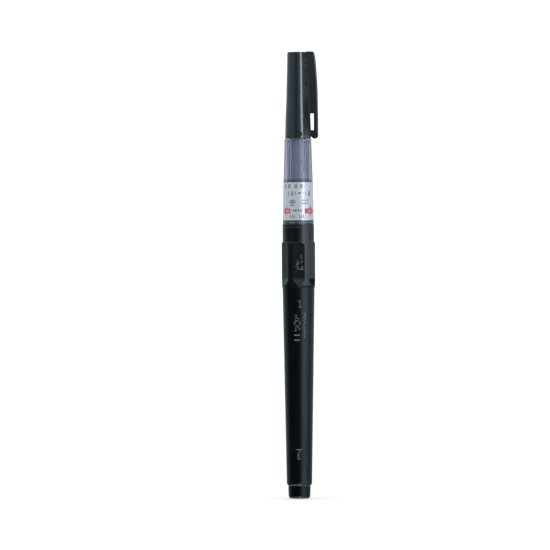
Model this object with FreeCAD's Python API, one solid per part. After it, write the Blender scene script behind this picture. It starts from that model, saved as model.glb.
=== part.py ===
import FreeCAD, Part
import math
import os

# A refillable brush pen with its cap on, standing on its tail.
# Millimetres. The pen's axis is Z, the tail's flat end is z = 0, and the brush points up.
# The clip is moulded with the cap and stands out along +X.
# Each function makes one physical piece; the last lines write them.

V = FreeCAD.Vector
UP = V(0, 0, 1)
AXIS = V(0, 0, 0)

# ---------------------------------------------------------------- driving dimensions
# heights along the pen
PLUG_TOP = 4.9            # top of the tail plug's visible end
TAIL_EDGE = 5.15          # lower edge of the barrel
TAIL_ROUND = 6.7          # top of the rounding of that edge
COLLAR_BOTTOM = 84.0
COLLAR_TOP = 102.1
RING_TOP = 109.3
LABEL_BOTTOM = 110.7
LABEL_TOP = 125.8
STEP_TOP = 126.6          # rounded step above the label
SHOULDER = 143.25         # flat shoulder that the cap's mouth meets
CAP_MOUTH = 143.3
NECK_TOP = 151.9
HOLDER_TOP = 156.5
BRUSH_POINT = 166.2
PEN_LENGTH = 178.0        # tail to crown with the cap on

# outer radii
PLUG_R_BOTTOM = 4.3
PLUG_R_TOP = 4.5
TAIL_R = 5.07
BARREL_R = 6.4            # barrel just under the collar
COLLAR_R = 6.66
RING_R = 6.3
SECTION_R = 6.15          # section at its lower end
LABEL_R_TOP = 5.95        # section at the top of the label, which tapers with it
STEP_R = 5.8              # section just above the label
SHOULDER_R = 5.34
NECK_R = 4.2
BEAD_R = 4.3              # snap bead round the neck
HOLDER_R_BOTTOM = 2.65
HOLDER_R_TOP = 2.2
BRUSH_R = 1.75

# barrel
SPIGOT_NECK_R = 5.5       # the barrel's neck, under the collar and the ring
SPIGOT_TOP = 120.6
BORE_R_TAIL = 4.0
BORE_R_WIDE = 4.62
BORE_R_SPIGOT = 4.2
BORE_WIDE_Z = 74.0        # the bore is widest from here to the spigot
PLUG_STEM_R = 3.92
PLUG_STEM_TOP = 13.5

# screw joint between the barrel's spigot and the section
PITCH = 1.5
THREAD_TURNS = 3.0
THREAD_BOTTOM = 113.2
MALE_CORE_R = 4.86
MALE_CREST_R = 5.3
FEMALE_CREST_R = 5.08
FEMALE_ROOT_R = 5.52
TOOTH_BASE = 0.72         # axial width of a tooth where it leaves the wall
TOOTH_TIP = 0.3
TOOTH_SINK = 0.08         # how far a tooth's root is buried in the wall

# front section
SECTION_BOTTOM = 109.35
SOCKET_TOP = 121.0        # end of the wide socket for the spigot
SLEEVE_BORE_R = 4.4
SLEEVE_BORE_TOP = 142.6
NECK_BORE_R = 3.42
NECK_BORE_TOP = 151.2
NECK_MOUTH_R = 2.75
LABEL_FOIL = 0.1

# ribbed sleeve inside the section
SLEEVE_BOTTOM = 122.0
SLEEVE_R = 4.02
SLEEVE_RIB_R = 4.3
SLEEVE_RIB_TOP = 139.4
SLEEVE_RIB_WIDTH = 0.42
SLEEVE_RIBS = 20
SLEEVE_IN_R = 3.4

# feed collector
FIN_R = 3.3
FIN_CORE_R = 1.9
FIN_PITCH = 1.0
FIN_THICKNESS = 0.45
FIN_BOTTOM = 128.0
FIN_TOP = 150.2
FIN_SLOT = 0.3            # width of the ink channel cut along the fins
PIPE_BOTTOM = 112.6
PIPE_TOP = 131.0
PIPE_R = 1.2
PIPE_IN_R = 0.82
WICK_R = 0.78
WICK_BOTTOM = 114.0

# brush
HOLDER_FLANGE_BOTTOM = 150.3
HOLDER_FLANGE_TOP = 151.1
HOLDER_FLANGE_R = 3.3
HOLDER_BORE_R = 1.8
BUTT_BOTTOM = 151.5
BUTT_TOP = 152.5
BUTT_R = 2.05
BRUSH_TIP_R = 0.08

# cartridge
BOTTLE_BOTTOM = 46.0
BOTTLE_R = 3.75
BOTTLE_SHOULDER = 110.0
BOTTLE_NECK_R = 2.7
BOTTLE_TOP = 119.4
BOTTLE_WALL = 0.7
BOTTLE_MOUTH_R = 1.28     # mouth bore that grips the pipe
BALL_R = 1.5
INK_LEVEL = 104.0

# cap
CAP_MOUTH_R = 5.2
CAP_MOUTH_IN_R = 4.4
CAP_WALL = 0.65
CAP_INSIDE_TOP = 176.4
LINER_BOTTOM = 152.1
LINER_TOP = 174.6
LINER_WALL = 0.35
LINER_GAP = 0.02          # play between the liner and the cap's bore
CROWN_DOME = 0.35
CROWN_R = 4.12
BOSS_R = 1.1              # small round boss on the front, just above the mouth
BOSS_Z = 145.0
BOSS_TURN = -83.5         # degrees from the clip round to the boss

# clip
CLIP_THICKNESS = 2.6      # across the fin, along Y
CLIP_EDGE = 0.55          # rounding of the fin's outer edges
CLIP_OUT = 8.14
CLIP_ARM = 1.8            # thickness of the arm beside the slot
CLIP_END = 143.1
SLOT_BOTTOM = 146.55
SLOT_TOP = 153.2


# ---------------------------------------------------------------- helpers
def spun(edges):
    """A solid of revolution about Z from a closed outline of edges in the XZ plane."""
    return Part.Face(Part.Wire(edges)).revolve(AXIS, UP, 360)


def lathe(points):
    """A solid of revolution about Z from (radius, height) corners of its half section.

    A corner with four numbers, (radius, height, middle radius, middle height), is reached by
    an arc through the middle point instead of a straight line.
    """
    edges = []
    for index, point in enumerate(points):
        before = points[index - 1]
        start = V(before[0], 0, before[1])
        end = V(point[0], 0, point[1])
        if len(point) == 4:
            edges.append(Part.Arc(start, V(point[2], 0, point[3]), end).toShape())
        else:
            edges.append(Part.makeLine(start, end))
    return spun(edges)


def rod(radius, bottom, top):
    """A plain round rod on the axis."""
    return Part.makeCylinder(radius, top - bottom, V(0, 0, bottom), UP)


def tube(outer, inner, bottom, top):
    """A plain round tube on the axis."""
    return rod(outer, bottom, top).cut(rod(inner, bottom - 1, top + 1))


def smooth_curve(points):
    """One smooth edge in the XZ plane through (radius, height) points."""
    curve = Part.BSplineCurve()
    curve.interpolate([V(r, 0, z) for r, z in points])
    return curve.toShape()


def line(start, end):
    """A straight edge in the XZ plane between two (radius, height) points."""
    return Part.makeLine(V(start[0], 0, start[1]), V(end[0], 0, end[1]))


def round_edges(shape, radius, wanted):
    """Round the edges that the test wanted(edge) picks."""
    edges = [edge for edge in shape.Edges if wanted(edge)]
    return shape.makeFillet(radius, edges)


def circle_at(height, radius, slack=0.02):
    """An edge test: a full circle about the axis, of this radius and height."""
    def test(edge):
        if edge.Degenerated or not isinstance(edge.Curve, Part.Circle):
            return False
        curve = edge.Curve
        level = abs(curve.Center.z - height) < slack
        return level and abs(curve.Radius - radius) < slack
    return test


def on_taper(z, low, high):
    """Radius at height z on the straight taper between two (radius, height) points."""
    share = (z - low[1]) / (high[1] - low[1])
    return low[0] + share * (high[0] - low[0])


def ring_of(shape, count):
    """Copies of a shape, evenly spaced about the axis, as a list."""
    copies = []
    for index in range(count):
        copy = shape.copy()
        copy.rotate(AXIS, UP, 360.0 * index / count)
        copies.append(copy)
    return copies


def helical_tooth(wall_r, tip_r, start):
    """One screw tooth, its root buried in the wall at wall_r and its tip at tip_r."""
    outward = 1 if tip_r > wall_r else -1
    root_r = wall_r - outward * TOOTH_SINK
    helix = Part.makeHelix(PITCH, THREAD_TURNS * PITCH, wall_r)
    half_base = TOOTH_BASE / 2
    half_tip = TOOTH_TIP / 2
    outline = Part.makePolygon([
        V(root_r, 0, -half_base),
        V(tip_r, 0, -half_tip),
        V(tip_r, 0, half_tip),
        V(root_r, 0, half_base),
        V(root_r, 0, -half_base),
    ])
    tooth = Part.Wire(helix).makePipeShell([outline], True, True)
    tooth.translate(V(0, 0, start))
    return tooth


# ---------------------------------------------------------------- barrel
def barrel_shell():
    """Long tapered barrel with a plain neck for the collar and a screwed spigot."""
    shell = lathe([
        (BORE_R_TAIL, TAIL_EDGE),
        (PLUG_R_TOP - 0.02, TAIL_EDGE),
        (TAIL_R, TAIL_ROUND, TAIL_R - 0.17, TAIL_EDGE + 0.55),
        (BARREL_R, COLLAR_BOTTOM),
        (SPIGOT_NECK_R, COLLAR_BOTTOM),
        (SPIGOT_NECK_R, RING_TOP),
        (MALE_CORE_R, RING_TOP),
        (MALE_CORE_R, SPIGOT_TOP),
        (BORE_R_SPIGOT, SPIGOT_TOP),
        (BORE_R_SPIGOT, RING_TOP),
        (BORE_R_WIDE, RING_TOP - 2),
        (BORE_R_WIDE, BORE_WIDE_Z),
        (BORE_R_TAIL, PLUG_STEM_TOP + 2),
    ])
    shell = round_edges(shell, 0.25, circle_at(SPIGOT_TOP, MALE_CORE_R))
    thread = helical_tooth(MALE_CORE_R, MALE_CREST_R, THREAD_BOTTOM)
    return shell.fuse(thread)


def grip_window():
    """Cutter for one shallow flat window: square-shouldered above, run out on a ramp below."""
    floor_x = 6.13
    half = 2.35
    low = COLLAR_BOTTOM + 0.9
    high = COLLAR_TOP - 0.45
    top_r = 1.2
    low_r = 0.8
    ramp = 2.6
    outside = COLLAR_R + 2
    above = high + 1
    wide = half + 0.6
    quarter = math.sin(math.radians(45))

    def corner(y, z, radius, side_y, side_z):
        """An arc that rounds the corner (y, z) of the window's outline."""
        centre_y = y - side_y * radius
        centre_z = z - side_z * radius
        start = V(floor_x, centre_y, z)
        middle = V(floor_x, centre_y + side_y * radius * quarter, centre_z + side_z * radius * quarter)
        end = V(floor_x, y, centre_z)
        return Part.Arc(start, middle, end).toShape()

    top_right = corner(half, high, top_r, 1, 1)
    top_left = corner(-half, high, top_r, -1, 1)
    low_right = corner(half, low, low_r, 1, -1)
    low_left = corner(-half, low, low_r, -1, -1)
    straight = [
        Part.makeLine(V(floor_x, -half + top_r, high), V(floor_x, half - top_r, high)),
        Part.makeLine(V(floor_x, half, high - top_r), V(floor_x, half, low + low_r)),
        Part.makeLine(V(floor_x, half - low_r, low), V(floor_x, -half + low_r, low)),
        Part.makeLine(V(floor_x, -half, low + low_r), V(floor_x, -half, high - top_r)),
    ]
    edges = straight + [top_right, top_left, low_right, low_left]
    outline = Part.Wire(Part.__sortEdges__(edges))
    window = Part.Face(outline).extrude(V(outside - floor_x, 0, 0))
    side = Part.makePolygon([
        V(floor_x, -wide, low + ramp),
        V(COLLAR_R, -wide, low),
        V(outside, -wide, low),
        V(outside, -wide, above),
        V(floor_x, -wide, above),
        V(floor_x, -wide, low + ramp),
    ])
    return window.common(Part.Face(side).extrude(V(0, 2 * wide, 0)))


def grip_collar():
    """Collar pressed on the barrel's neck, with six windows, one of them at the front."""
    windows = 6
    front = -89
    collar = lathe([
        (SPIGOT_NECK_R, COLLAR_BOTTOM),
        (BARREL_R + 0.02, COLLAR_BOTTOM),
        (COLLAR_R, COLLAR_BOTTOM + 0.8),
        (COLLAR_R, COLLAR_TOP),
        (SPIGOT_NECK_R, COLLAR_TOP),
    ])
    collar = round_edges(collar, 0.22, circle_at(COLLAR_TOP, COLLAR_R))
    cutter = grip_window()
    cutter.rotate(AXIS, UP, front)
    for window in ring_of(cutter, windows):
        collar = collar.cut(window)
    return collar


def joint_ring():
    """Plain ring between the collar and the section, with a fine line near its top."""
    line_z = 108.0
    line_depth = 0.06
    line_half = 0.09
    ring = lathe([
        (SPIGOT_NECK_R, COLLAR_TOP),
        (RING_R, COLLAR_TOP),
        (RING_R, line_z - line_half),
        (RING_R - line_depth, line_z),
        (RING_R, line_z + line_half),
        (RING_R, RING_TOP),
        (SPIGOT_NECK_R, RING_TOP),
    ])
    return round_edges(ring, 0.3, circle_at(RING_TOP, RING_R))


def tail_plug():
    """Hollow plug pressed into the barrel's tail; its narrow waist leaves a groove."""
    waist_r = PLUG_R_TOP - 0.18
    floor = 1.6
    hollow_r = PLUG_STEM_R - 1.0
    plug = lathe([
        (0, 0),
        (PLUG_R_BOTTOM, 0),
        (PLUG_R_TOP, PLUG_TOP - 0.08),
        (waist_r, PLUG_TOP),
        (waist_r, TAIL_EDGE),
        (PLUG_STEM_R, TAIL_EDGE),
        (PLUG_STEM_R, PLUG_STEM_TOP - 0.5),
        (PLUG_STEM_R - 0.4, PLUG_STEM_TOP),
        (hollow_r, PLUG_STEM_TOP),
        (hollow_r, floor),
        (0, floor),
    ])
    return round_edges(plug, 1.25, circle_at(0, PLUG_R_BOTTOM))


# ---------------------------------------------------------------- cartridge
def cartridge_bottle():
    """Blown bottle with a stepped neck that plugs on to the feed's pipe."""
    inside_r = BOTTLE_R - BOTTLE_WALL
    neck_in_r = BALL_R + 0.3
    bottle = lathe([
        (0, BOTTLE_BOTTOM),
        (BOTTLE_R - 0.6, BOTTLE_BOTTOM),
        (BOTTLE_R, BOTTLE_BOTTOM + 0.6),
        (BOTTLE_R, BOTTLE_SHOULDER),
        (BOTTLE_NECK_R, BOTTLE_SHOULDER + 1.6),
        (BOTTLE_NECK_R, BOTTLE_TOP),
        (BOTTLE_MOUTH_R, BOTTLE_TOP),
        (BOTTLE_MOUTH_R, BOTTLE_TOP - 3.0),
        (neck_in_r, BOTTLE_TOP - 3.6),
        (neck_in_r, BOTTLE_SHOULDER + 1.2),
        (inside_r, BOTTLE_SHOULDER - 0.4),
        (inside_r, BOTTLE_BOTTOM + BOTTLE_WALL + 0.5),
        (inside_r - 0.5, BOTTLE_BOTTOM + BOTTLE_WALL),
        (0, BOTTLE_BOTTOM + BOTTLE_WALL),
    ])
    return bottle


def cartridge_ball():
    """Ball that sealed the cartridge, lying in the bottle where the pipe pushed it."""
    drop = BOTTLE_BOTTOM + BOTTLE_WALL + BALL_R + 0.02
    return Part.makeSphere(BALL_R, V(0, 0, drop))


def ink_charge():
    """The ink as it fills the bottle up to its level, round the ball."""
    gap = 0.01
    inside_r = BOTTLE_R - BOTTLE_WALL - gap
    bottom = BOTTLE_BOTTOM + BOTTLE_WALL + gap
    ink = lathe([
        (0, bottom),
        (inside_r - 0.5, bottom),
        (inside_r, bottom + 0.5),
        (inside_r, INK_LEVEL),
        (0, INK_LEVEL),
    ])
    pocket = Part.makeSphere(BALL_R + gap, V(0, 0, cartridge_ball().CenterOfMass.z))
    return ink.cut(pocket)


# ---------------------------------------------------------------- front section
def front_section():
    """Translucent section: screwed socket, tapered grip and the neck that the cap snaps on to."""
    low_r = SECTION_R - LABEL_FOIL
    high_r = LABEL_R_TOP - LABEL_FOIL
    bead_z = NECK_TOP - 1.6
    section = lathe([
        (FEMALE_ROOT_R, SECTION_BOTTOM),
        (SECTION_R, SECTION_BOTTOM),
        (SECTION_R, LABEL_BOTTOM),
        (low_r, LABEL_BOTTOM),
        (high_r, LABEL_TOP),
        (high_r, STEP_TOP),
        (STEP_R, STEP_TOP),
        (SHOULDER_R, SHOULDER),
        (NECK_R, SHOULDER),
        (NECK_R, bead_z - 0.9),
        (BEAD_R, bead_z - 0.4),
        (BEAD_R, bead_z + 0.4),
        (NECK_R, bead_z + 0.9),
        (NECK_R, NECK_TOP),
        (NECK_MOUTH_R, NECK_TOP),
        (NECK_MOUTH_R, NECK_BORE_TOP),
        (NECK_BORE_R, NECK_BORE_TOP),
        (NECK_BORE_R, SLEEVE_BORE_TOP),
        (SLEEVE_BORE_R, SLEEVE_BORE_TOP),
        (SLEEVE_BORE_R, SOCKET_TOP + 0.5),
        (FEMALE_ROOT_R, SOCKET_TOP),
    ])
    section = round_edges(section, 0.03, circle_at(STEP_TOP, high_r))
    section = round_edges(section, 0.5, circle_at(SHOULDER, SHOULDER_R))
    section = round_edges(section, 0.45, circle_at(NECK_TOP, NECK_R))
    # the teeth stand half a pitch up from the spigot's, so that each lies in the other's groove
    thread = helical_tooth(FEMALE_ROOT_R, FEMALE_CREST_R, THREAD_BOTTOM + PITCH / 2)
    return section.fuse(thread)


def label_wrap():
    """Thin foil label wrapped round the section's taper."""
    return lathe([
        (SECTION_R, LABEL_BOTTOM),
        (LABEL_R_TOP, LABEL_TOP),
        (LABEL_R_TOP - LABEL_FOIL, LABEL_TOP),
        (SECTION_R - LABEL_FOIL, LABEL_BOTTOM),
    ])


def ribbed_sleeve():
    """Sleeve that holds the feed in the section, with upright ribs on its outside."""
    body = tube(SLEEVE_R, SLEEVE_IN_R, SLEEVE_BOTTOM, SLEEVE_BORE_TOP)
    reach = SLEEVE_RIB_R - SLEEVE_R + 0.2
    rib = Part.makeBox(
        reach,
        SLEEVE_RIB_WIDTH,
        SLEEVE_RIB_TOP - SLEEVE_BOTTOM,
        V(SLEEVE_RIB_R - reach, -SLEEVE_RIB_WIDTH / 2, SLEEVE_BOTTOM),
    )
    return body.multiFuse(ring_of(rib, SLEEVE_RIBS)).removeSplitter()


def feed_collector():
    """Comb of thin fins on a core, with an ink channel cut along one side."""
    outline = [(PIPE_R, FIN_BOTTOM)]
    count = int((FIN_TOP - FIN_BOTTOM) / FIN_PITCH) + 1
    for index in range(count):
        bottom = FIN_BOTTOM + index * FIN_PITCH
        outline.append((FIN_R, bottom))
        outline.append((FIN_R, bottom + FIN_THICKNESS))
        if index < count - 1:
            outline.append((FIN_CORE_R, bottom + FIN_THICKNESS))
            outline.append((FIN_CORE_R, bottom + FIN_PITCH))
    top = FIN_BOTTOM + (count - 1) * FIN_PITCH + FIN_THICKNESS
    outline.append((WICK_R + 0.03, top))
    outline.append((WICK_R + 0.03, PIPE_TOP))
    outline.append((PIPE_R, PIPE_TOP))
    comb = lathe(outline)
    channel = Part.makeBox(
        FIN_R,
        FIN_SLOT,
        FIN_TOP - FIN_BOTTOM + 2,
        V(WICK_R + 0.7, -FIN_SLOT / 2, FIN_BOTTOM - 1),
    )
    channel.rotate(AXIS, UP, -120)
    return comb.cut(channel)


def feed_pipe():
    """Pipe that pierces the cartridge, pressed into the collector's root."""
    slant = PIPE_R
    pipe = tube(PIPE_R, PIPE_IN_R, PIPE_BOTTOM, PIPE_TOP)
    blade = Part.makeBox(4 * PIPE_R, 4 * PIPE_R, 3 * slant, V(-2 * PIPE_R, -2 * PIPE_R, -3 * slant))
    blade.rotate(AXIS, V(0, 1, 0), 40)
    blade.translate(V(0, 0, PIPE_BOTTOM + slant))
    return pipe.cut(blade)


def relay_wick():
    """Fibre rod from the cartridge to the root of the tuft."""
    wick = rod(WICK_R, WICK_BOTTOM, BUTT_BOTTOM)
    return round_edges(wick, 0.3, circle_at(WICK_BOTTOM, WICK_R))


# ---------------------------------------------------------------- brush
def tip_holder():
    """Nose cone: flanged inside the neck, tapered outside, bored for the tuft."""
    holder = lathe([
        (WICK_R + 0.05, HOLDER_FLANGE_BOTTOM + 0.2),
        (HOLDER_FLANGE_R, HOLDER_FLANGE_BOTTOM + 0.2),
        (HOLDER_FLANGE_R, HOLDER_FLANGE_TOP),
        (HOLDER_R_BOTTOM, HOLDER_FLANGE_TOP),
        (HOLDER_R_BOTTOM, NECK_TOP),
        (HOLDER_R_TOP, HOLDER_TOP),
        (HOLDER_BORE_R, HOLDER_TOP),
        (HOLDER_BORE_R, BUTT_TOP),
        (BUTT_R + 0.02, BUTT_TOP),
        (BUTT_R + 0.02, BUTT_BOTTOM),
        (WICK_R + 0.05, BUTT_BOTTOM),
    ])
    return round_edges(holder, 0.25, circle_at(HOLDER_TOP, HOLDER_R_TOP))


def tuft_butt():
    """Melted disc that joins the bristles' roots."""
    return rod(BUTT_R, BUTT_BOTTOM, BUTT_TOP)


def brush_tuft():
    """Bundle of bristles: straight in the holder, then a slightly full cone to a fine point."""
    free_length = BRUSH_POINT - HOLDER_TOP
    belly = V(BRUSH_R * 0.66, 0, HOLDER_TOP + 0.42 * free_length)
    shoulder = V(BRUSH_R, 0, HOLDER_TOP)
    point = V(BRUSH_TIP_R, 0, BRUSH_POINT)
    return spun([
        line((0, BUTT_TOP), (BRUSH_R, BUTT_TOP)),
        line((BRUSH_R, BUTT_TOP), (BRUSH_R, HOLDER_TOP)),
        Part.Arc(shoulder, belly, point).toShape(),
        line((BRUSH_TIP_R, BRUSH_POINT), (0, BRUSH_POINT)),
        line((0, BRUSH_POINT), (0, BUTT_TOP)),
    ])


# ---------------------------------------------------------------- cap
# the cap's side from its mouth to its crown, as (radius, height)
CAP_SIDE = [
    (CAP_MOUTH_R, CAP_MOUTH),
    (5.02, 149.5),
    (4.92, 152.0),
    (4.68, 157.0),
    (4.5, 163.0),
    (4.31, 170.0),
    (4.19, 175.0),
    (CROWN_R, PEN_LENGTH - CROWN_DOME),
]
CAP_BORE = [(radius - CAP_WALL, height) for radius, height in CAP_SIDE[3:7]]


def clip_fin():
    """Fin-shaped clip: a solid web above, a slot, and an arm whose end bends back to the cap."""
    root_top = PEN_LENGTH - 0.1
    outer_side = [
        (6.62, root_top - 0.45),
        (7.1, 175.0),
        (7.5, 170.0),
        (7.83, 165.0),
        (8.07, 156.0),
        (CLIP_OUT, 151.0),
    ]
    arm_low = (CLIP_OUT, CLIP_END + 1.6)
    end_low = (CLIP_OUT - 1.35, CLIP_END)
    end_middle = V(CLIP_OUT - 0.45, 0, CLIP_END + 0.42)
    bump_low = (CAP_MOUTH_R + 0.75, CLIP_END + 0.25)
    root_low = (CAP_MOUTH_R - 0.3, CLIP_END + 1.2)
    root_high = (2.6, root_top - 0.45)
    valley = (3.3, root_top)
    corner = (6.2, root_top)
    edges = [
        smooth_curve(outer_side),
        line(outer_side[-1], arm_low),
        Part.Arc(V(arm_low[0], 0, arm_low[1]), end_middle, V(end_low[0], 0, end_low[1])).toShape(),
        line(end_low, bump_low),
        line(bump_low, root_low),
        line(root_low, root_high),
        line(root_high, valley),
        line(valley, corner),
        line(corner, outer_side[0]),
    ]
    face = Part.Face(Part.Wire(edges))
    face.translate(V(0, -CLIP_THICKNESS / 2, 0))
    fin = face.extrude(V(0, CLIP_THICKNESS, 0))

    def outer_edge(edge):
        """The long edges of the fin's outside and end, on both faces."""
        middle = edge.valueAt((edge.FirstParameter + edge.LastParameter) / 2)
        on_face = abs(abs(middle.y) - CLIP_THICKNESS / 2) < 0.01
        along = edge.BoundBox.YLength < 0.01
        return on_face and along and middle.x > 6.3
    return round_edges(fin, CLIP_EDGE, outer_edge)


def clip_slot():
    """Cutter for the see-through slot between the clip's arm and the cap."""
    inner_low = CAP_MOUTH_R - 0.02
    inner_high = CAP_MOUTH_R - 0.24
    outer_x = CLIP_OUT - CLIP_ARM
    corners = [
        V(inner_low, -5, SLOT_BOTTOM),
        V(outer_x, -5, SLOT_BOTTOM),
        V(outer_x, -5, SLOT_TOP),
        V(inner_high, -5, SLOT_TOP),
        V(inner_low, -5, SLOT_BOTTOM),
    ]
    slot = Part.Face(Part.makePolygon(corners)).extrude(V(0, 10, 0))
    return round_edges(slot, 0.35, lambda edge: edge.BoundBox.YLength > 9)


def mouth_boss():
    """Small dished boss on the cap's front, a little to the clip's side."""
    reach = CAP_MOUTH_R + 0.1
    boss = Part.makeCylinder(BOSS_R, 0.5, V(reach - 0.5, 0, BOSS_Z), V(1, 0, 0))
    dish = Part.makeCylinder(BOSS_R * 0.55, 0.1, V(reach - 0.07, 0, BOSS_Z), V(1, 0, 0))
    boss = boss.cut(dish)
    boss.rotate(AXIS, UP, BOSS_TURN)
    return boss


def cap_shell():
    """Cap with its clip moulded on, bored to snap over the neck."""
    crown_edge = CAP_SIDE[-1]
    dome_r = (CROWN_R ** 2 + CROWN_DOME ** 2) / (2 * CROWN_DOME)
    half_angle = math.asin(CROWN_R / dome_r) / 2
    crown_middle = V(dome_r * math.sin(half_angle), 0, PEN_LENGTH - dome_r * (1 - math.cos(half_angle)))
    crown = Part.Arc(V(crown_edge[0], 0, crown_edge[1]), crown_middle, V(0, 0, PEN_LENGTH))
    body = spun([
        line((0, CAP_MOUTH), CAP_SIDE[0]),
        smooth_curve(CAP_SIDE),
        crown.toShape(),
        line((0, PEN_LENGTH), (0, CAP_MOUTH)),
    ])
    body = round_edges(body, 0.35, circle_at(crown_edge[1], CROWN_R))
    body = body.fuse(clip_fin())
    body = body.cut(clip_slot())
    body = body.fuse(mouth_boss())
    inside = [
        (0, CAP_MOUTH - 1),
        (CAP_MOUTH_IN_R, CAP_MOUTH - 1),
        (CAP_MOUTH_IN_R, LINER_BOTTOM),
    ]
    inside += CAP_BORE
    inside.append((CAP_BORE[-1][0], CAP_INSIDE_TOP))
    inside.append((0, CAP_INSIDE_TOP))
    return body.cut(lathe(inside))


def inner_cap():
    """Soft liner inside the cap, closed at the top, that keeps the brush moist."""
    ceiling = LINER_TOP - LINER_WALL
    outside = [(radius - LINER_GAP, height) for radius, height in CAP_BORE[:3]]
    end_r = on_taper(LINER_TOP, CAP_BORE[2], CAP_BORE[3]) - LINER_GAP
    profile = [(outside[0][0], LINER_BOTTOM)]
    profile += outside
    profile.append((end_r, LINER_TOP))
    profile.append((0, LINER_TOP))
    profile.append((0, ceiling))
    profile.append((end_r - LINER_WALL, ceiling))
    profile += [(radius - LINER_WALL, height) for radius, height in reversed(outside)]
    profile.append((outside[0][0] - LINER_WALL, LINER_BOTTOM))
    return lathe(profile)


# ---------------------------------------------------------------- write the pieces
PIECES = {
    "barrel_shell": barrel_shell,
    "grip_collar": grip_collar,
    "joint_ring": joint_ring,
    "tail_plug": tail_plug,
    "cartridge_bottle": cartridge_bottle,
    "cartridge_ball": cartridge_ball,
    "ink_charge": ink_charge,
    "front_section": front_section,
    "label_wrap": label_wrap,
    "ribbed_sleeve": ribbed_sleeve,
    "feed_collector": feed_collector,
    "feed_pipe": feed_pipe,
    "relay_wick": relay_wick,
    "tip_holder": tip_holder,
    "tuft_butt": tuft_butt,
    "brush_tuft": brush_tuft,
    "cap_shell": cap_shell,
    "inner_cap": inner_cap,
}

os.makedirs("parts", exist_ok=True)
for name, make in PIECES.items():
    shape = make()
    sound = shape.isValid() and len(shape.Solids) == 1
    print(f"{name:18s} solids {len(shape.Solids)}  volume {shape.Volume:9.2f}  {'ok' if sound else 'BAD'}")
    shape.exportStep(f"parts/{name}.step")
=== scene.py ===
import math
import random

import bmesh
import bpy
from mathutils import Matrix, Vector
from mathutils.bvhtree import BVHTree


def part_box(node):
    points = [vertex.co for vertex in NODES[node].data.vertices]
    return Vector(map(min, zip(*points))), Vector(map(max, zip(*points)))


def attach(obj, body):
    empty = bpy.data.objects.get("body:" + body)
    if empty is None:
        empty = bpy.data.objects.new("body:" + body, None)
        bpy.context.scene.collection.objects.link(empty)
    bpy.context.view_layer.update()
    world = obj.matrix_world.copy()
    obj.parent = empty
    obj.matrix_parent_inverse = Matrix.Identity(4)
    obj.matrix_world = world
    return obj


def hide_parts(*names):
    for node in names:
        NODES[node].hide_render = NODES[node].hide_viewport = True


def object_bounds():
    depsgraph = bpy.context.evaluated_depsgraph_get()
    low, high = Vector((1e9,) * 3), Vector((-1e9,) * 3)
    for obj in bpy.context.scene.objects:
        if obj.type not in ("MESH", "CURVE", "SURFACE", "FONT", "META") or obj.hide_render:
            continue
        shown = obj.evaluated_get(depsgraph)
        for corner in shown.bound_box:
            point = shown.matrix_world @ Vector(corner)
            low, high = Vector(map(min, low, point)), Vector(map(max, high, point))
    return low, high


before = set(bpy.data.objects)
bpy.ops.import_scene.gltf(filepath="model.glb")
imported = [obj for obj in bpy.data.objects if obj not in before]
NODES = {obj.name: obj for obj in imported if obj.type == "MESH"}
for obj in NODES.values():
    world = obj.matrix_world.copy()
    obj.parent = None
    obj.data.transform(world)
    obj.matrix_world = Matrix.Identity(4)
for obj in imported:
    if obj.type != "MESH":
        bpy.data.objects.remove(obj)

# A capped brush pen standing on its tail. Metres, +Z up, the front is -Y, the clip is at +X.
# Azimuth is in degrees from the front (-Y) towards the clip (+X), as the camera sees it.

CAD_LOW, CAD_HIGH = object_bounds()
TUFT_LOW, TUFT_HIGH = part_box("brush_tuft")
HOLDER_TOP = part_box("tip_holder")[1].z
MM = 0.001

# ---------------------------------------------------------------- driving values
CAMERA_DISTANCE = 2.0
CAMERA_REACH = 20.0           # nothing further than this is drawn
SENSOR = 36.0                 # mm
FLOOR_HALF = 3.0
VIEW_SPAN = 1.2300            # the view is this many pen lengths wide
PEN_RIGHT = 0.0526            # pen's place right of the middle, in pen lengths
PEN_LEAN = 0.26               # degrees that the view is rolled, so the crown leans left

INK_HEIGHT = 0.012 * MM       # printed marks stand this proud
EMBOSS_HEIGHT = 0.09 * MM     # moulded marks stand this proud
MARK_SINK = 0.02 * MM         # how far a mark's underside is buried
WELD = 0.0005 * MM            # corners closer than this are one corner
STROKE_PITCH = 0.5            # mm between the strokes of a column
MARK_STEP = 0.3 * MM          # a mark is cut this fine to follow the round wall
WALL_SEARCH = 0.02            # a wall is looked for inwards from this radius

STRAND_R = 0.055 * MM         # one bristle
STRAND_SIDES = 5
STRAND_STEPS = 14
CORE_SIDES = 24
CORE_STEPS = 12
CORE_SHARE = 0.8              # the core's radius, as a share of the bundle's
CORE_SHORT = 1.2 * MM         # how far the core ends below the longest bristle
TUFT_TIP_R = 0.08 * MM
TUFT_FULLNESS = 0.32          # how far the bundle bulges out from a straight cone
TUFT_LAYERS = ((1.0, 84), (0.86, 70), (0.7, 50))    # share of the bundle's radius, bristles


# ---------------------------------------------------------------- node helpers
def add(tree, kind, inputs=None, **settings):
    """Add one shader node; inputs are values or sockets to link, by name or number."""
    node = tree.nodes.new(kind)
    for key, value in settings.items():
        setattr(node, key, value)
    for key, value in (inputs or {}).items():
        if isinstance(value, bpy.types.NodeSocket):
            tree.links.new(value, node.inputs[key])
        else:
            node.inputs[key].default_value = value
    return node


def maths(tree, operation, first, second=0.0):
    """One maths node's result."""
    return add(tree, "ShaderNodeMath", {0: first, 1: second}, operation=operation).outputs[0]


def ramped(tree, source, low, high, to_low, to_high, smooth=False):
    """source carried from the span low..high to the span to_low..to_high, clamped."""
    kind = "SMOOTHSTEP" if smooth else "LINEAR"
    inputs = {0: source, 1: low, 2: high, 3: to_low, 4: to_high}
    return add(tree, "ShaderNodeMapRange", inputs, interpolation_type=kind).outputs[0]


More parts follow.
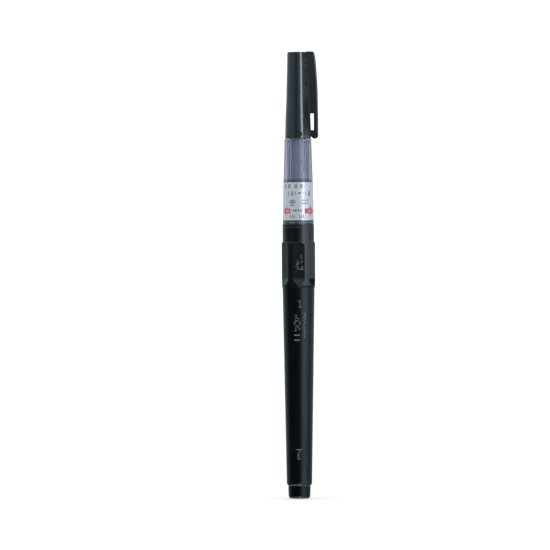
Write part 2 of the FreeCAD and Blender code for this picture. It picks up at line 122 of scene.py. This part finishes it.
def speckle(tree, size, detail=2.0, stretch=1.0):
    """Noise with features of about this size in metres, stretched along the pen."""
    place = add(tree, "ShaderNodeTexCoord").outputs["Object"]
    across = 1.0 / size
    scaled = add(tree, "ShaderNodeMapping", {0: place, 3: (across, across, across / stretch)})
    inputs = {"Vector": scaled.outputs[0], "Scale": 1.0, "Detail": detail, "Roughness": 0.5}
    return add(tree, "ShaderNodeTexNoise", inputs).outputs["Fac"]


def ribs(tree, size, radius):
    """Noise that runs straight along a round or tapered piece, in ribs of about this size in metres."""
    place = add(tree, "ShaderNodeTexCoord").outputs["Object"]
    flat = add(tree, "ShaderNodeVectorMath", {0: place, 1: (1.0, 1.0, 0.0)}, operation="MULTIPLY")
    outward = add(tree, "ShaderNodeVectorMath", {0: flat.outputs[0]}, operation="NORMALIZE")
    inputs = {"Vector": outward.outputs[0], "Scale": radius / size, "Detail": 1.0}
    return add(tree, "ShaderNodeTexNoise", inputs).outputs["Fac"]


def within(tree, source, start, full, fading, end, smooth=False):
    """A pattern that rises from 0 at start to 1 at full, and falls from 1 at fading to 0 at end."""
    rising = ramped(tree, source, start, full, 0.0, 1.0, smooth)
    falling = ramped(tree, source, fading, end, 1.0, 0.0, smooth)
    return maths(tree, "MULTIPLY", rising, falling)


def facing_away(tree):
    """0 where a surface faces the eye, rising to 1 at its outline."""
    return add(tree, "ShaderNodeLayerWeight", {"Blend": 0.5}).outputs["Facing"]


def tinted(tree, factor, dark, light):
    """A colour between two colours."""
    inputs = {0: factor, 6: (*dark, 1.0), 7: (*light, 1.0)}
    return add(tree, "ShaderNodeMix", inputs, data_type="RGBA").outputs[2]


def blended(tree, factor, colour, other):
    """A linked colour carried towards a plain one."""
    return add(tree, "ShaderNodeMix", {0: factor, 6: colour, 7: (*other, 1.0)}, data_type="RGBA").outputs[2]


def bumped(tree, height, distance, strength=1.0):
    """A bump normal for a height pattern that is distance metres deep."""
    inputs = {"Height": height, "Distance": distance, "Strength": strength}
    return add(tree, "ShaderNodeBump", inputs).outputs[0]


def new_material(name, **sockets):
    """An empty node material with a Principled shader; sockets are its plain values."""
    material = bpy.data.materials.new(name)
    material.use_nodes = True
    tree = material.node_tree
    tree.nodes.clear()
    shader = add(tree, "ShaderNodeBsdfPrincipled")
    output = add(tree, "ShaderNodeOutputMaterial")
    tree.links.new(shader.outputs[0], output.inputs["Surface"])
    for key, value in sockets.items():
        shader.inputs[key.replace("_", " ")].default_value = value
    return material, tree, shader


def feed(tree, shader, **sockets):
    """Link patterns to the shader's sockets, by name."""
    for key, value in sockets.items():
        tree.links.new(value, shader.inputs[key.replace("_", " ")])


# ---------------------------------------------------------------- materials
def moulded(name, dark, light, smooth, rough, grain=0.25 * MM, **sockets):
    """Hard moulded plastic: handling smears, lengthwise wipe marks and a faint orange peel."""
    material, tree, shader = new_material(name, **sockets)
    smears = speckle(tree, 5.0 * MM, detail=3.0, stretch=2.2)
    wipes = speckle(tree, 0.22 * MM, detail=2.0, stretch=22.0)
    dust = speckle(tree, 0.12 * MM, detail=1.0)
    worn = maths(tree, "ADD", maths(tree, "MULTIPLY", smears, 0.65), maths(tree, "MULTIPLY", wipes, 0.35))
    gritty = maths(tree, "ADD", worn, ramped(tree, dust, 0.68, 0.74, 0.0, 0.5))
    peel = speckle(tree, grain, detail=2.0)
    relief = maths(tree, "ADD", peel, maths(tree, "MULTIPLY", wipes, 0.5))
    feed(
        tree,
        shader,
        Base_Color=tinted(tree, gritty, dark, light),
        Roughness=ramped(tree, gritty, 0.3, 0.75, smooth, rough),
        Normal=bumped(tree, relief, 0.002 * MM, 0.35),
    )
    return material


def smoky(name, dark, light, alpha, smooth, rough, streak=0.7 * MM, edge_alpha=None, edge=None):
    """Translucent plastic with flow streaks along the pen; its edges can be denser and tinted."""
    material, tree, shader = new_material(name, IOR=1.5, Alpha=alpha)
    streaks = ramped(tree, speckle(tree, streak, detail=2.0, stretch=40.0), 0.36, 0.62, 0.0, 1.0)
    smears = speckle(tree, 4.0 * MM, detail=3.0, stretch=2.0)
    colour = tinted(tree, streaks, dark, light)
    if edge:
        facing = facing_away(tree)
        turned = ramped(tree, facing, 0.2, 0.65, 0.0, 1.0, smooth=True)
        colour = blended(tree, turned, colour, edge)
        feed(tree, shader, Alpha=ramped(tree, facing, 0.2, 0.65, alpha, edge_alpha, smooth=True))
    feed(
        tree,
        shader,
        Base_Color=colour,
        Roughness=ramped(tree, smears, 0.3, 0.7, smooth, rough),
        Normal=bumped(tree, streaks, 0.001 * MM, 0.2),
    )
    return material


def section_smoke():
    """The section's smoky plastic: denser where it is thick and at its lower rim, with painted shade at its
    ledge above the label and just under the cap's mouth.
    """
    material, tree, shader = new_material("smoke_section", IOR=1.5, Specular_IOR_Level=1.0)
    place = add(tree, "ShaderNodeTexCoord").outputs["Object"]
    height = add(tree, "ShaderNodeSeparateXYZ", {0: place}).outputs[2]
    label_low, label_high = (corner.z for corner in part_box("label_wrap"))
    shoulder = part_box("cap_shell")[0].z
    # the plastic is made dark and nearly opaque below the label and just behind its lower edge; just above
    # the label, at its step, and near the cap's mouth the same dark is painted shade
    rim = ramped(tree, height, label_low - 0.1 * MM, label_low + 0.2 * MM, 1.0, 0.0)
    ledge_shade = ramped(tree, height, label_high + 0.9 * MM, label_high + 1.5 * MM, 0.75, 0.0)
    mouth_shade = ramped(tree, height, shoulder - 2.6 * MM, shoulder - 0.8 * MM, 0.0, 0.4, smooth=True)
    dense_rim_and_painted_shade = maths(tree, "MAXIMUM", maths(tree, "MAXIMUM", rim, ledge_shade), mouth_shade)
    streaks = ramped(tree, ribs(tree, 0.30 * MM, 5.5 * MM), 0.43, 0.55, 0.0, 1.0)
    smears = speckle(tree, 4.0 * MM, detail=3.0, stretch=2.0)
    facing = facing_away(tree)
    turned = ramped(tree, facing, 0.3, 0.8, 0.0, 0.5, smooth=True)
    colour = tinted(tree, streaks, (0.045, 0.055, 0.115), (0.30, 0.32, 0.48))
    colour = blended(tree, turned, colour, (0.10, 0.115, 0.15))
    # the dark lower rim, and painted shade at the step above the label and under the cap's mouth
    colour = blended(tree, dense_rim_and_painted_shade, colour, (0.018, 0.024, 0.034))
    # a thin, uneven painted highlight line along the rim's lower edge
    edge = within(tree, height, *(label_low - below * MM for below in (1.15, 1.0, 0.85, 0.7)))
    glint = ramped(tree, speckle(tree, 1.5 * MM, detail=1.0), 0.42, 0.62, 0.05, 0.9)
    colour = blended(tree, maths(tree, "MULTIPLY", edge, glint), colour, (0.15, 0.19, 0.20))
    thick = ramped(tree, facing, 0.12, 0.75, 0.40, 0.74)
    feed(
        tree,
        shader,
        Base_Color=colour,
        Alpha=maths(tree, "MAXIMUM", thick, ramped(tree, dense_rim_and_painted_shade, 0.0, 1.0, 0.0, 0.97)),
        Roughness=ramped(tree, smears, 0.3, 0.7, 0.26, 0.36),
        Normal=bumped(tree, streaks, 0.001 * MM, 0.2),
    )
    return material


def foil():
    """Silver paper label: brushed along its length, a little crinkled, slightly toned."""
    material, tree, shader = new_material("silver_label", Metallic=0.2, Specular_IOR_Level=1.0)
    brushed = speckle(tree, 0.09 * MM, detail=2.0, stretch=0.12)
    crinkle = speckle(tree, 1.8 * MM, detail=3.0)
    toned = speckle(tree, 3.5 * MM, detail=2.0)
    relief = maths(tree, "ADD", maths(tree, "MULTIPLY", brushed, 0.25), crinkle)
    feed(
        tree,
        shader,
        Base_Color=tinted(tree, toned, (0.40, 0.45, 0.505), (0.49, 0.515, 0.56)),
        Roughness=ramped(tree, brushed, 0.3, 0.7, 0.17, 0.27),
        Normal=bumped(tree, relief, 0.008 * MM, 0.3),
    )
    return material


def printed(name, dark, light):
    """Printing ink: slightly uneven in tone, matt to satin."""
    material, tree, shader = new_material(name)
    uneven = speckle(tree, 0.16 * MM, detail=3.0)
    feed(
        tree,
        shader,
        Base_Color=tinted(tree, ramped(tree, uneven, 0.35, 0.7, 0.0, 1.0), dark, light),
        Roughness=ramped(tree, uneven, 0.3, 0.7, 0.42, 0.6),
    )
    return material


def fibre(name, dark, light, size, stretch):
    """Fibres lying along the pen."""
    material, tree, shader = new_material(name)
    strands = speckle(tree, size, detail=2.0, stretch=stretch)
    feed(
        tree,
        shader,
        Base_Color=tinted(tree, ramped(tree, strands, 0.3, 0.7, 0.0, 1.0), dark, light),
        Roughness=ramped(tree, strands, 0.3, 0.7, 0.35, 0.6),
        Normal=bumped(tree, strands, 0.02 * MM, 0.7),
    )
    return material


def polished_steel():
    """The sealing ball: bright steel with fine polishing scuffs."""
    material, tree, shader = new_material("ball_steel", Metallic=1.0)
    scuffs = speckle(tree, 0.1 * MM, detail=3.0)
    feed(
        tree,
        shader,
        Base_Color=tinted(tree, scuffs, (0.52, 0.52, 0.54), (0.62, 0.62, 0.63)),
        Roughness=ramped(tree, scuffs, 0.3, 0.7, 0.12, 0.28),
    )
    return material


def liquid():
    """Black ink: nearly black and wet, with a hint of blue where it thins."""
    material, tree, shader = new_material("black_ink", IOR=1.35)
    settled = speckle(tree, 2.0 * MM, detail=2.0)
    feed(
        tree,
        shader,
        Base_Color=tinted(tree, settled, (0.004, 0.004, 0.006), (0.012, 0.012, 0.016)),
        Roughness=ramped(tree, settled, 0.3, 0.7, 0.05, 0.12),
    )
    return material


MATERIALS = {
    "barrel": moulded("barrel_black", (0.0012, 0.0016, 0.0018), (0.0026, 0.0032, 0.0036), 0.12, 0.19),
    "cap": moulded("cap_black", (0.004, 0.005, 0.0058), (0.0065, 0.0075, 0.0085), 0.08, 0.14),
    "holder": moulded("holder_black", (0.006, 0.006, 0.007), (0.012, 0.012, 0.013), 0.28, 0.42),
    "section": section_smoke(),
    "sleeve": smoky(
        "smoke_sleeve", (0.19, 0.225, 0.36), (0.56, 0.61, 0.84), 0.8, 0.2, 0.35,
        streak=0.5 * MM, edge_alpha=0.22, edge=(0.62, 0.66, 0.82),
    ),
    "collector": moulded("collector_grey", (0.10, 0.10, 0.14), (0.16, 0.16, 0.21), 0.35, 0.5),
    "pipe": smoky("pipe_clear", (0.6, 0.62, 0.65), (0.75, 0.77, 0.8), 0.45, 0.15, 0.25),
    "bottle": smoky("bottle_milky", (0.62, 0.65, 0.68), (0.78, 0.80, 0.82), 0.45, 0.3, 0.42),
    "liner": moulded("liner_white", (0.62, 0.63, 0.62), (0.74, 0.75, 0.73), 0.35, 0.5),
    # the raised marks are painted a light grey: a painted highlight for the glints along their edges
    "emboss": moulded("emboss_painted_glint", (0.03, 0.033, 0.036), (0.26, 0.27, 0.28), 0.25, 0.4, grain=0.12 * MM),
    "label": foil(),
    "print_black": printed("print_black", (0.02, 0.022, 0.026), (0.07, 0.075, 0.085)),
    "print_grey": printed("print_grey", (0.14, 0.15, 0.15), (0.26, 0.27, 0.26)),
    "print_white": printed("print_white", (0.50, 0.44, 0.46), (0.66, 0.60, 0.62)),
    "print_red": printed("print_red", (0.37, 0.05, 0.11), (0.50, 0.09, 0.16)),
    "wick": fibre("wick_fibre", (0.02, 0.02, 0.022), (0.07, 0.07, 0.075), 0.08 * MM, 12.0),
    "butt": fibre("butt_fused", (0.01, 0.01, 0.01), (0.03, 0.03, 0.03), 0.15 * MM, 1.0),
    "bristle": fibre("bristle_nylon", (0.012, 0.014, 0.014), (0.045, 0.05, 0.048), 0.07 * MM, 20.0),
    "ball": polished_steel(),
    "ink": liquid(),
}

NODE_MATERIALS = {
    "barrel_shell": "barrel",
    "grip_collar": "barrel",
    "joint_ring": "barrel",
    "tail_plug": "barrel",
    "cartridge_bottle": "bottle",
    "cartridge_ball": "ball",
    "ink_charge": "ink",
    "front_section": "section",
    "label_wrap": "label",
    "ribbed_sleeve": "sleeve",
    "feed_collector": "collector",
    "feed_pipe": "pipe",
    "relay_wick": "wick",
    "tip_holder": "holder",
    "tuft_butt": "butt",
    "brush_tuft": "bristle",
    "cap_shell": "cap",
    "inner_cap": "liner",
}


def dress_nodes():
    """Give every CAD node its material."""
    for node, key in NODE_MATERIALS.items():
        piece = NODES[node]
        piece.data.materials.clear()
        piece.data.materials.append(MATERIALS[key])


# ---------------------------------------------------------------- marks on round walls
def wall_finder(node):
    """A function that gives a node's outer radius at an azimuth and a height."""
    mesh = NODES[node].data
    corners = [vertex.co for vertex in mesh.vertices]
    tree = BVHTree.FromPolygons(corners, [face.vertices for face in mesh.polygons])

    def radius_at(azimuth, height):
        outward = Vector((math.sin(azimuth), -math.cos(azimuth), 0.0))
        origin = outward * WALL_SEARCH + Vector((0.0, 0.0, height))
        distance = tree.ray_cast(origin, -outward)[3]
        return WALL_SEARCH - distance

    return radius_at


def raised_marks(name, node, body, material, shapes, centre, height):
    """Thin closed solids on a round wall.

    shapes are outlines of (along, up) points in mm: along runs round the wall to the right and
    up along the pen, both from centre, which is (azimuth in degrees, height in mm).
    """
    radius_at = wall_finder(node)
    middle = math.radians(centre[0])
    level = centre[1] * MM
    wall = radius_at(middle, level)
    mesh = bmesh.new()
    for shape in shapes:
        mesh.faces.new([mesh.verts.new((x * MM, y * MM, 0.0)) for x, y in shape])
    bmesh.ops.remove_doubles(mesh, verts=mesh.verts[:], dist=WELD)
    bmesh.ops.triangulate(mesh, faces=mesh.faces[:])
    left = min(vertex.co.x for vertex in mesh.verts)
    right = max(vertex.co.x for vertex in mesh.verts)
    for cut in range(math.ceil(left / MARK_STEP), math.floor(right / MARK_STEP) + 1):
        everything = mesh.verts[:] + mesh.edges[:] + mesh.faces[:]
        place = (cut * MARK_STEP, 0.0, 0.0)
        bmesh.ops.bisect_plane(mesh, geom=everything, plane_co=place, plane_no=(1.0, 0.0, 0.0))
    top = bmesh.ops.extrude_face_region(mesh, geom=mesh.faces[:])["geom"]
    raised = {item for item in top if isinstance(item, bmesh.types.BMVert)}
    for vertex in mesh.verts:
        azimuth = middle + vertex.co.x / wall
        up = level + vertex.co.y
        reach = radius_at(azimuth, up) + (height if vertex in raised else -MARK_SINK)
        vertex.co = (reach * math.sin(azimuth), -reach * math.cos(azimuth), up)
    bmesh.ops.recalc_face_normals(mesh, faces=mesh.faces[:])
    return finish_piece(name, mesh, body, material)


def finish_piece(name, mesh, body, material, smooth=False):
    """Turn a bmesh into a piece of the scene that rides on a body."""
    data = bpy.data.meshes.new(name)
    mesh.to_mesh(data)
    mesh.free()
    data.materials.append(MATERIALS[material])
    data.polygons.foreach_set("use_smooth", [smooth] * len(data.polygons))
    piece = bpy.data.objects.new(name, data)
    bpy.context.scene.collection.objects.link(piece)
    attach(piece, body)
    return piece


def bar(x, y, width, height, slant=0.0):
    """A four-cornered mark centred at (x, y); slant shifts its top edge."""
    half_w = width / 2
    half_h = height / 2
    return [
        (x - half_w, y - half_h),
        (x + half_w, y - half_h),
        (x + half_w + slant, y + half_h),
        (x - half_w + slant, y + half_h),
    ]


def disc(x, y, radius, sides=12):
    """A round mark."""
    turns = [2 * math.pi * index / sides for index in range(sides)]
    return [(x + radius * math.cos(turn), y + radius * math.sin(turn)) for turn in turns]


def hoop(x, y, width, height, thickness, sides=20):
    """A ring-shaped mark as four-cornered links."""
    links = []
    for index in range(sides):
        turns = [2 * math.pi * (index + step) / sides for step in (0, 1)]
        outer = [(x + width / 2 * math.cos(t), y + height / 2 * math.sin(t)) for t in turns]
        inner = [
            (x + (width / 2 - thickness) * math.cos(t), y + (height / 2 - thickness) * math.sin(t))
            for t in reversed(turns)
        ]
        links.append(outer + inner)
    return links


def arrow(width, height, direction):
    """A block arrow that points left (-1) or right (1): its shaft and its head."""
    head = width * 0.52
    shaft = width - head
    neck_x = direction * (width / 2 - head)
    shaft_x = neck_x - direction * shaft / 2
    point = (direction * width / 2, 0.0)
    low = (neck_x, -height / 2)
    high = (neck_x, height / 2)
    return [bar(shaft_x, 0.0, shaft, height * 0.52), [low, point, high]]


def print_on_label(name, ink, shapes, centre, height=INK_HEIGHT):
    """Marks in one ink on the foil label."""
    raised_marks(name, "label_wrap", "section", ink, shapes, centre, height)


def label_print():
    """Generic marks on the foil label: rows of bars, dots and a lozenge, and two red arrows."""
    front = (0.0, 118.35)
    black = []
    # top row: four small blocks, the first ones further round to the left
    for x in (-6.0, -3.8, -1.0, 1.35):
        black.append(bar(x, 6.4, 1.1, 0.28))
        black.append(bar(x - 0.28, 5.81, 0.3, 0.86))
        black.append(bar(x + 0.3, 5.81, 0.26, 0.86))
        black.append(bar(x, 5.25, 0.95, 0.24))
    # second row: uneven strokes
    for x, tall, wide in (
        (-4.3, 1.5, 0.26), (-2.6, 1.8, 0.5), (-1.3, 1.2, 0.28), (3.1, 0.9, 0.28), (4.7, 2.0, 0.65),
    ):
        black.append(bar(x, 2.95, wide, tall, slant=0.15))
    black.append(disc(0.5, 3.1, 0.42))
    # third row: a lozenge frame round a dot, and a bar under it
    black += hoop(-2.4, -0.35, 2.9, 2.1, 0.42, sides=4)
    black.append(disc(-2.4, -0.35, 0.36))
    black.append(bar(-2.4, -1.75, 2.0, 0.28))
    # fourth row, between the arrows, and the bottom row
    for x in (-1.9, -1.0, 0.0, 1.1):
        black.append(disc(x, -3.6, 0.3))
        black.append(bar(x + 0.1, -4.06, 0.75, 0.25))
    for x in (-3.3, -2.5, -1.7, 0.4, 1.2, 2.0):
        black.append(bar(x, -5.95, 0.26, 1.0, slant=0.12))
        black.append(bar(x + 0.1, -6.58, 0.6, 0.2))
    print_on_label("label_marks_black", "print_black", black, front)
    # a faint second device in the third row, two rows of three dots, and a bar in the second row
    grey = [disc(x, y, 0.38) for x in (1.8, 2.9, 4.0) for y in (0.3, -0.95)]
    grey.append(bar(1.9, 3.3, 0.8, 0.25))
    print_on_label("label_marks_grey", "print_grey", grey, front)
    for side, direction, wide in (("left", -1, 4.3), ("right", 1, 5.2)):
        place = (direction * 50.0, 114.4)
        print_on_label(f"label_arrow_{side}", "print_red", arrow(wide, 3.9, direction), place)
        white = [bar(direction * step, 0.0, 0.24, 0.9, slant=0.2) for step in (-1.2, -0.5, 0.2)]
        print_on_label(f"arrow_marks_{side}", "print_white", white, place, 2 * INK_HEIGHT)


def stroke_column(draw, x, y, width, height):
    """Short strokes and dots scattered up a column, one over the other."""
    count = int(height / STROKE_PITCH)
    marks = []
    for index in range(count):
        level = y + height * ((index + 0.5) / count - 0.5)
        place = x + draw.uniform(-0.3, 0.3) * width
        if draw.random() < 0.3:
            marks.append(disc(place, level, draw.uniform(0.13, 0.19), sides=8))
        else:
            length = draw.uniform(0.35, 0.8) * width
            marks.append(bar(place, level, length, draw.uniform(0.16, 0.26), slant=draw.uniform(-0.3, 0.3)))
    return marks


def emboss(name, node, shapes, centre):
    """Moulded marks on one of the barrel's black pieces, painted light grey as a highlight."""
    raised_marks(name, node, "barrel", "emboss", shapes, centre, EMBOSS_HEIGHT)


def barrel_emboss():
    """Generic moulded marks: scattered strokes up the barrel, its tail and the collar's window."""
    draw = random.Random(11)
    motif = [bar(-0.75, -7.4, 2.2, 0.42), bar(-0.75, -5.4, 2.2, 0.42)]
    motif += stroke_column(draw, -1.3, -0.6, 1.3, 6.6)
    motif += stroke_column(draw, 0.15, -1.0, 1.2, 5.0)
    motif += stroke_column(draw, 2.3, -1.4, 1.0, 10.0)
    motif += stroke_column(draw, 0.4, 7.0, 1.4, 3.2)
    emboss("barrel_emboss", "barrel_shell", motif, (0.0, 70.5))
    tail = [bar(0.2, 1.75, 2.6, 0.26), bar(0.35, 1.25, 0.7, 0.26), bar(0.1, -2.0, 1.3, 0.26)]
    tail += stroke_column(draw, 0.0, -0.4, 1.3, 2.2)
    emboss("tail_emboss", "barrel_shell", tail, (-3.0, 17.9))
    window = stroke_column(draw, 0.75, 1.3, 1.3, 3.4)
    window += stroke_column(draw, -0.75, -1.2, 1.2, 4.0)
    window += [bar(0.9, -2.7, 1.5, 0.3), bar(0.9, -1.9, 0.5, 0.5, slant=0.2)]
    emboss("window_emboss", "grip_collar", window, (3.0, 93.9))


# ---------------------------------------------------------------- brush
def bundle_radius(z):
    """The bundle's radius: straight in the holder, then a slightly full cone."""
    root_r = TUFT_HIGH.x
    if z <= HOLDER_TOP:
        return root_r
    share = (z - HOLDER_TOP) / (TUFT_HIGH.z - HOLDER_TOP)
    return TUFT_TIP_R + (root_r - TUFT_TIP_R) * (1 - share) * (1 + TUFT_FULLNESS * share)


def closed_tube(mesh, path, sides):
    """A closed tube through a list of (centre, radius), with level rings."""
    turns = [2 * math.pi * side / sides for side in range(sides)]
    before = None
    for centre, radius in path:
        ring = [mesh.verts.new(centre + Vector((math.cos(t), math.sin(t), 0.0)) * radius) for t in turns]
        if before:
            for side in range(sides):
                after = (side + 1) % sides
                mesh.faces.new((before[side], before[after], ring[after], ring[side]))
        else:
            mesh.faces.new(list(reversed(ring)))
        before = ring
    mesh.faces.new(before)


def strand_path(end, spread, azimuth, wave, thickness):
    """One bristle from its root up to its own tip, thinner from about half way up."""
    path = []
    for step in range(STRAND_STEPS + 1):
        share = step / STRAND_STEPS
        z = TUFT_LOW.z + (end - TUFT_LOW.z) * share
        reach = spread * (bundle_radius(z) - STRAND_R)
        turn = azimuth + wave * math.sin(3.0 * share)
        centre = Vector((reach * math.sin(turn), -reach * math.cos(turn), z))
        path.append((centre, thickness * (1.0 - 0.85 * max(0.0, (share - 0.45) / 0.55))))
    return path


def core_path():
    """The solid core that fills the bundle."""
    end = TUFT_HIGH.z - CORE_SHORT
    path = []
    for step in range(CORE_STEPS + 1):
        z = TUFT_LOW.z + (end - TUFT_LOW.z) * step / CORE_STEPS
        path.append((Vector((0.0, 0.0, z)), CORE_SHARE * bundle_radius(z)))
    return path


def bristle_tuft():
    """About two hundred separate tapered bristles round a solid core."""
    draw = random.Random(7)
    mesh = bmesh.new()

    def strand(spread, azimuth, end, thickness):
        wave = draw.uniform(-0.05, 0.05)
        closed_tube(mesh, strand_path(end, spread, azimuth, wave, thickness), STRAND_SIDES)

    for spread, count in TUFT_LAYERS:
        for index in range(count):
            azimuth = 2 * math.pi * (index + draw.uniform(-0.3, 0.3)) / count
            end = TUFT_HIGH.z - (0.2 + 1.6 * spread * draw.random() ** 2) * MM
            strand(spread * draw.uniform(0.97, 1.0), azimuth, end, STRAND_R * draw.uniform(0.8, 1.0))
    strand(0.0, 0.0, TUFT_HIGH.z, 2 * STRAND_R)
    closed_tube(mesh, core_path(), CORE_SIDES)
    piece = finish_piece("bristle_bundle", mesh, "section", "bristle", smooth=True)
    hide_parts("brush_tuft")


# ---------------------------------------------------------------- stage, light and camera
GREEN = (0.77, 1.0, 1.05)
BLUE = (0.68, 0.96, 1.22)
TEAL = (0.68, 1.0, 1.09)
VIOLET = (0.88, 0.97, 1.14)
WHITE = (1.0, 1.0, 1.0)
CEILING = (0.95, 0.98, 1.0)
BRIGHTEST = 10.0              # the colour ramps hold radiance as a share of this
FILL = 1.12                   # what everything but gloss sees
CEILING_RADIANCE = 1.8
STRIP_RADIANCE = 8.5
STRIP = (25, 29, 44, 49)      # azimuths where the strip light starts, is full, fades and ends
GROUND_RADIANCE = 1.2
LAMP_RADIANCE = 8.0
LAMP = (0, 4, 14, 18)         # the same for the low lamp in front of the pen
# what gloss sees round the pen, as (azimuth, radiance, tint), in three bands one over the other:
# the barrel, the collar and the ring mirror the lowest, the label and the clip's flat faces the
# next, and the tapering section and cap the highest
LOW_PANORAMA = [
    (-180, 2.0, BLUE), (-172, 2.0, BLUE), (-165, 0.45, GREEN), (-132, 0.5, GREEN),
    (-106, 0.36, GREEN), (-88, 0.06, GREEN), (-78, 0.0, GREEN), (-24, 0.01, BLUE),
    (-4, 0.08, BLUE), (10, 0.12, BLUE), (15, 0.3, BLUE), (23, 0.8, BLUE), (40, 1.1, BLUE),
    (56, 1.2, BLUE), (73, 0.7, BLUE), (92, 0.32, BLUE), (118, 0.5, GREEN), (135, 0.42, GREEN),
    (166, 0.4, BLUE), (172, 2.0, BLUE),
]
MIDDLE_PANORAMA = [
    (-180, 2.0, WHITE), (-172, 2.0, WHITE), (-165, 1.2, WHITE), (-138, 1.5, WHITE),
    (-100, 0.3, WHITE), (-20, 0.25, BLUE), (2, 0.7, BLUE), (16, 1.4, WHITE), (34, 4.0, WHITE),
    (50, 8.0, WHITE), (72, 8.0, WHITE), (90, 4.0, WHITE), (108, 1.9, WHITE), (134, 2.2, WHITE),
    (166, 1.0, WHITE), (172, 2.0, WHITE),
]
HIGH_PANORAMA = [
    (-180, 2.0, BLUE), (-172, 2.0, BLUE), (-165, 0.5, GREEN), (-130, 0.8, GREEN),
    (-104, 1.05, TEAL), (-60, 0.92, TEAL), (-30, 0.7, BLUE), (-17, 0.16, BLUE), (2, 0.8, BLUE),
    (24, 1.0, BLUE), (48, 0.9, BLUE), (62, 0.4, BLUE), (72, 0.2, BLUE), (96, 0.24, BLUE),
    (115, 0.05, BLUE), (140, 0.05, BLUE), (166, 0.3, BLUE), (172, 2.0, BLUE),
]


def panorama(tree, azimuth, stops_wanted):
    """Light from all round, read off a list of (azimuth, radiance, tint)."""
    place = maths(tree, "ADD", maths(tree, "DIVIDE", azimuth, 2 * math.pi), 0.5)
    ramp = add(tree, "ShaderNodeValToRGB", {0: place})
    stops = ramp.color_ramp.elements
    while len(stops) > 1:
        stops.remove(stops[-1])
    stops[0].position = 0.0
    for angle, radiance, tint in stops_wanted:
        stop = stops[0] if angle == -180 else stops.new(angle / 360 + 0.5)
        stop.color = (*[radiance * share / BRIGHTEST for share in tint], 1.0)
    return add(tree, "ShaderNodeBackground", {0: ramp.outputs[0], 1: BRIGHTEST}).outputs[0]


def glow(tree, radiance, tint=WHITE):
    """Plain light of one colour."""
    return add(tree, "ShaderNodeBackground", {0: (*tint, 1.0), 1: radiance}).outputs[0]


def mixed(tree, share, light, other):
    """One light carried towards another."""
    return add(tree, "ShaderNodeMixShader", {0: share, 1: light, 2: other}).outputs[0]


def sector(tree, azimuth, degrees):
    """A soft-ended share of the horizon: where it starts, is full, fades and ends, in degrees."""
    return within(tree, azimuth, *(math.radians(angle) for angle in degrees), smooth=True)


def studio_light():
    """A soft white studio. Only gloss sees its darker sides, its strip light and its top light."""
    world = bpy.data.worlds.new("studio")
    bpy.context.scene.world = world
    world.cycles.sampling_method = "NONE"
    world.use_nodes = True
    tree = world.node_tree
    tree.nodes.clear()
    direction = add(tree, "ShaderNodeTexCoord").outputs["Generated"]
    split = add(tree, "ShaderNodeSeparateXYZ", {0: direction})
    front = maths(tree, "MULTIPLY", split.outputs[1], -1.0)
    azimuth = maths(tree, "ARCTAN2", split.outputs[0], front)
    height = split.outputs[2]

    sunk = ramped(tree, height, -0.072, -0.045, 0.38, 0.0, smooth=True)
    low = mixed(tree, sunk, panorama(tree, azimuth, LOW_PANORAMA), glow(tree, 0.0))
    lamp = ramped(tree, sector(tree, azimuth, LAMP), 0.0, 1.0, GROUND_RADIANCE, LAMP_RADIANCE)
    under = ramped(tree, height, -0.85, -0.45, 1.0, 0.0, smooth=True)
    gloss = mixed(tree, under, low, glow(tree, lamp))
    middle = panorama(tree, azimuth, MIDDLE_PANORAMA)
    strip = glow(tree, STRIP_RADIANCE, VIOLET)
    high = mixed(tree, sector(tree, azimuth, STRIP), panorama(tree, azimuth, HIGH_PANORAMA), strip)
    ceiling = glow(tree, CEILING_RADIANCE, CEILING)
    # each band takes over from the one under it between two heights
    for band, start, end in ((middle, 0.028, 0.036), (high, 0.050, 0.062), (ceiling, 0.40, 0.55)):
        gloss = mixed(tree, ramped(tree, height, start, end, 0.0, 1.0, smooth=True), gloss, band)

    path = add(tree, "ShaderNodeLightPath")
    mirrored = maths(tree, "SUBTRACT", path.outputs["Is Glossy Ray"], path.outputs["Is Transmission Ray"])
    output = add(tree, "ShaderNodeOutputWorld")
    tree.links.new(mixed(tree, mirrored, glow(tree, FILL), gloss), output.inputs["Surface"])


def floor():
    """A plain pale floor under the pen's tail."""
    mesh = bmesh.new()
    corners = [(-FLOOR_HALF, -FLOOR_HALF), (FLOOR_HALF, -FLOOR_HALF), (FLOOR_HALF, FLOOR_HALF),
               (-FLOOR_HALF, FLOOR_HALF)]
    mesh.faces.new([mesh.verts.new((x, y, CAD_LOW.z)) for x, y in corners])
    data = bpy.data.meshes.new("floor")
    mesh.to_mesh(data)
    mesh.free()
    material, tree, shader = new_material("floor_paper", Roughness=0.9)
    fibres = speckle(tree, 0.6 * MM, detail=3.0)
    feed(tree, shader, Base_Color=tinted(tree, fibres, (0.93, 0.93, 0.93), (0.96, 0.96, 0.96)))
    data.materials.append(material)
    plane = bpy.data.objects.new("floor", data)
    bpy.context.scene.collection.objects.link(plane)
    plane.visible_glossy = False


def camera():
    """A long lens level with the pen's middle, the pen a little right of the centre."""
    length = CAD_HIGH.z - CAD_LOW.z
    data = bpy.data.cameras.new("camera")
    data.sensor_width = SENSOR
    data.lens = SENSOR * CAMERA_DISTANCE / (VIEW_SPAN * length)
    data.clip_end = CAMERA_REACH
    eye = bpy.data.objects.new("camera", data)
    bpy.context.scene.collection.objects.link(eye)
    eye.location = (-PEN_RIGHT * length, -CAMERA_DISTANCE, CAD_LOW.z + length / 2)
    eye.rotation_euler = (math.radians(90), math.radians(PEN_LEAN), 0.0)
    bpy.context.scene.camera = eye


dress_nodes()
label_print()
barrel_emboss()
bristle_tuft()
floor()
studio_light()
camera()
bpy.context.scene.view_settings.view_transform = "Standard"
